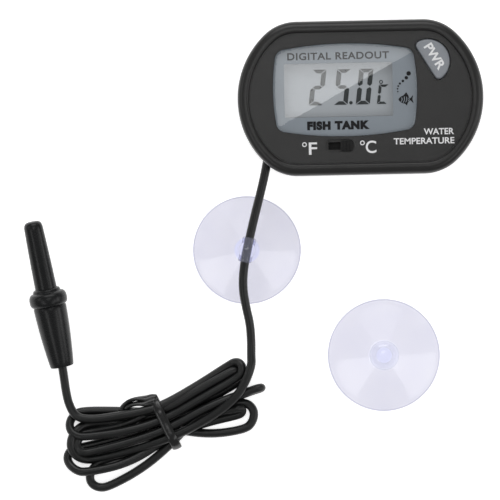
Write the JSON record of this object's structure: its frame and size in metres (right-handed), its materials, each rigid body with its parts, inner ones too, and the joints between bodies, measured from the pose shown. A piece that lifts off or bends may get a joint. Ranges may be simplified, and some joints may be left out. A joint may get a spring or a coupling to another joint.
{
  "type": "digital aquarium thermometer",
  "caption": "Battery thermometer for fish tanks: display case with power button and unit slider, corded probe with its cord tied in a hank, and clear suction cups.",
  "frame": {"origin": "centre of the case's back, on the surface that the case, cups, cord and probe lie on", "axes": "+Z out of the display, +X to the right of someone reading the display, +Y to the top of the display"},
  "size_m": [0.1091, 0.1097, 0.016],
  "materials": {
    "case_plastic": "moulded, fine texture",
    "window_clear": "clear, polished",
    "mask_print": "printed silver-grey",
    "tape": "matte",
    "display_glass": "clear",
    "display_back": "satin silver",
    "zebra_rubber": "matte",
    "holder_plastic": "moulded white",
    "board": "solder mask",
    "epoxy": "glossy drop",
    "metal_can": "bright",
    "chip_ceramic": "matte",
    "button_plastic": "satin grey",
    "switch_plastic": "moulded black",
    "slider_plastic": "moulded black",
    "cell_steel": "nickel-plated",
    "contact_metal": "nickel-plated spring",
    "screw_steel": "zinc-plated",
    "cord_rubber": "satin jacket",
    "tie_plastic": "glossy",
    "crimp": "plain",
    "conductor": "insulated wire",
    "probe_rubber": "satin black",
    "bead_glass": "glossy bead",
    "lead_wire": "tinned",
    "potting": "cured resin",
    "cup_vinyl": "clear soft vinyl"
  },
  "bodies": {
    "thermometer": {"rear_cover": "case_plastic", "front_cover": "case_plastic", "battery_cell_left": "cell_steel", "battery_cell_right": "cell_steel", "contact_positive": "contact_metal", "contact_negative": "contact_metal", "window_tape": "tape", "window_mask": "mask_print", "display_window": "window_clear", "lcd_front_glass": "display_glass", "lcd_rear_glass": "display_glass", "lcd_reflector": "display_back", "zebra_strip": "zebra_rubber", "lcd_holder": "holder_plastic", "circuit_board": "board", "controller_blob": "epoxy", "timing_crystal": "metal_can", "chip_parts": "chip_ceramic", "tact_switch": "switch_plastic", "slide_switch_housing": "metal_can", "case_screws": "screw_steel", "board_screws": "screw_steel", "cord_lead": "cord_rubber", "cord_hank": "cord_rubber", "cord_tail": "cord_rubber", "cord_tie": "tie_plastic", "cord_stop_collar": "crimp", "cord_conductors": "conductor", "probe_boot": "probe_rubber", "probe_sleeve": "probe_rubber", "thermistor_bead": "bead_glass", "thermistor_leads": "lead_wire", "probe_potting": "potting"},
    "power_button": {"power_button": "button_plastic", "switch_plunger": "switch_plastic"},
    "unit_slider": {"unit_slider": "slider_plastic"},
    "battery_door": {"battery_door": "case_plastic", "battery_bridge": "contact_metal"},
    "cord_cup": {"cord_suction_cup": "cup_vinyl"},
    "loose_cup": {"case_suction_cup": "cup_vinyl"}
  },
  "joints": [
    {"name": "button_press", "type": "slide", "parent": "thermometer", "child": "power_button", "axis": [0, 0, -1], "range_m": [0, 0.0005], "stiffness_N_per_m": 600, "springref_m": -0.0004},
    {"name": "unit_switch", "type": "slide", "parent": "thermometer", "child": "unit_slider", "axis": [1, 0, 0], "range_m": [-0.0032, 0]},
    {"name": "battery_door_slide", "type": "slide", "parent": "thermometer", "child": "battery_door", "axis": [0, -1, 0], "range_m": [0, 0.016]},
    {"name": "cord_cup_slide", "type": "slide", "parent": "thermometer", "child": "cord_cup", "axis": [0.2322, 0.9727, 0], "range_m": [0, 0.0045]},
    {"name": "loose_cup_lift", "type": "slide", "parent": "thermometer", "child": "loose_cup", "axis": [0, 0, 1], "range_m": [0, 0.04]}
  ]
}
